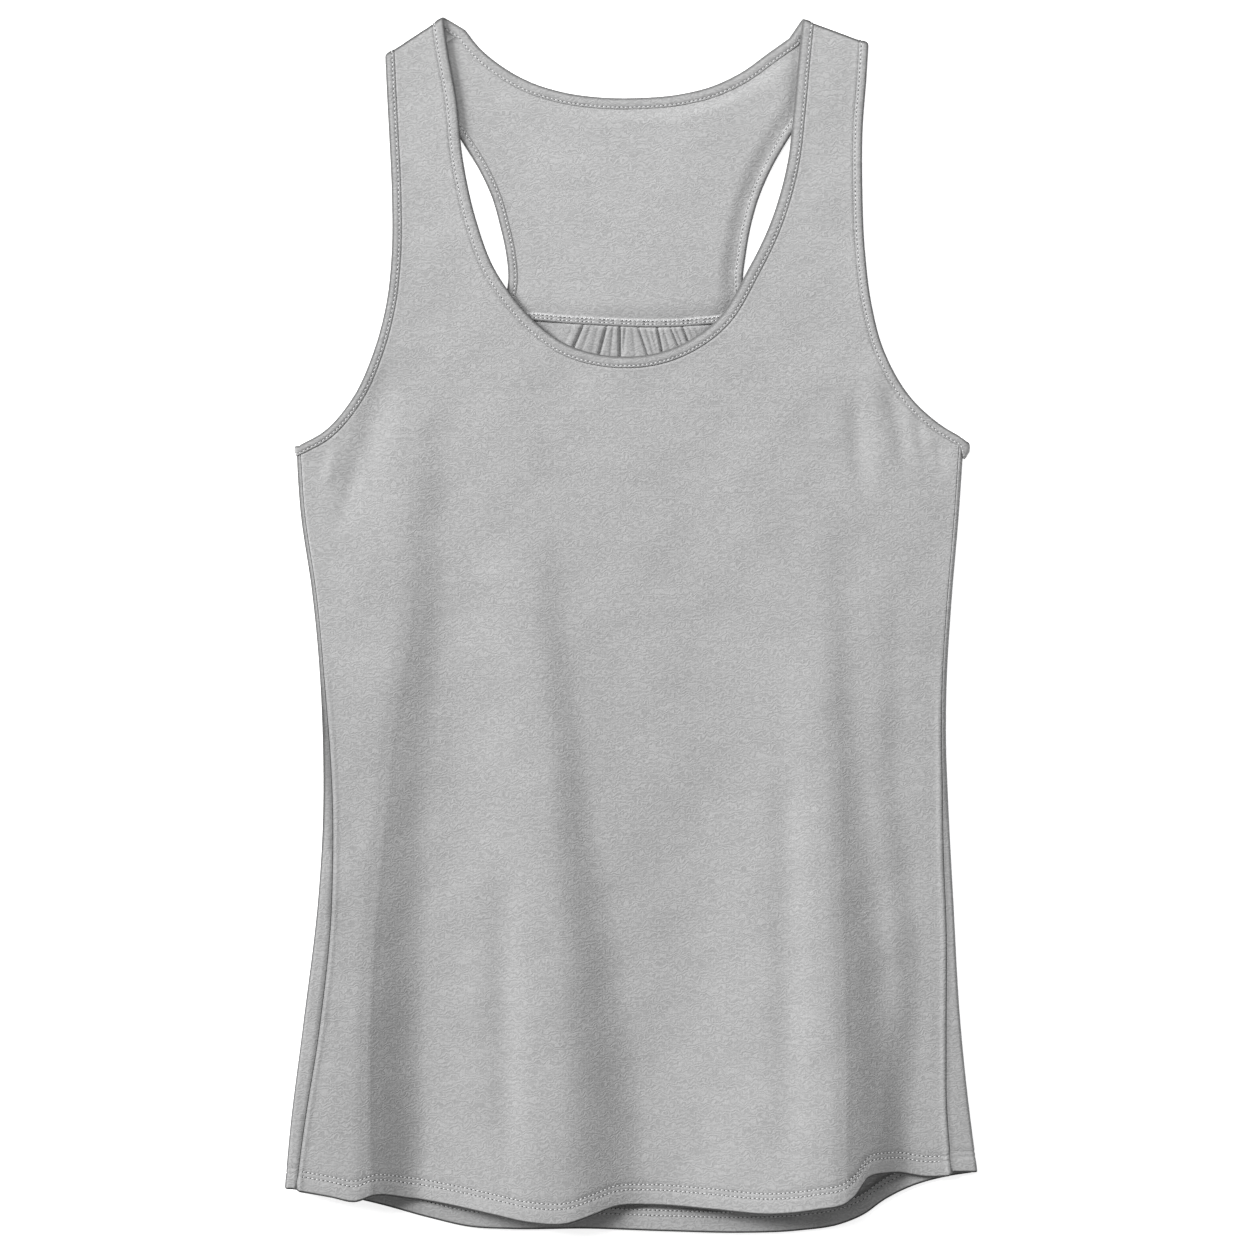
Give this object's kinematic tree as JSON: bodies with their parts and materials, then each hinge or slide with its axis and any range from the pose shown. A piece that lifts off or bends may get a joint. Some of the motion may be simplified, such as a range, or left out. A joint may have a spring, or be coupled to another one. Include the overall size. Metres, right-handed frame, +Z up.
{
  "type": "tank top",
  "caption": "Racerback tank top in jersey, laid flat on its back, with bound neck and armholes and a gathered lower back.",
  "frame": {"origin": "middle of the garment's outline, on the surface that it lies on", "axes": "+Y from the hem to the neck, +X to the right as seen from above the front, +Z up out of the front"},
  "size_m": [0.4008, 0.7042, 0.0214],
  "materials": {
    "jersey": "matt heather knit",
    "jersey_inner": "matt heather knit, inner side",
    "binding": "matt heather knit, folded and stitched"
  },
  "bodies": {
    "root": {"front": "jersey", "back_yoke": "jersey_inner", "back_lower": "jersey_inner", "neck_binding": "binding", "armhole_binding_left": "binding", "armhole_binding_right": "binding"}
  },
  "joints": []
}
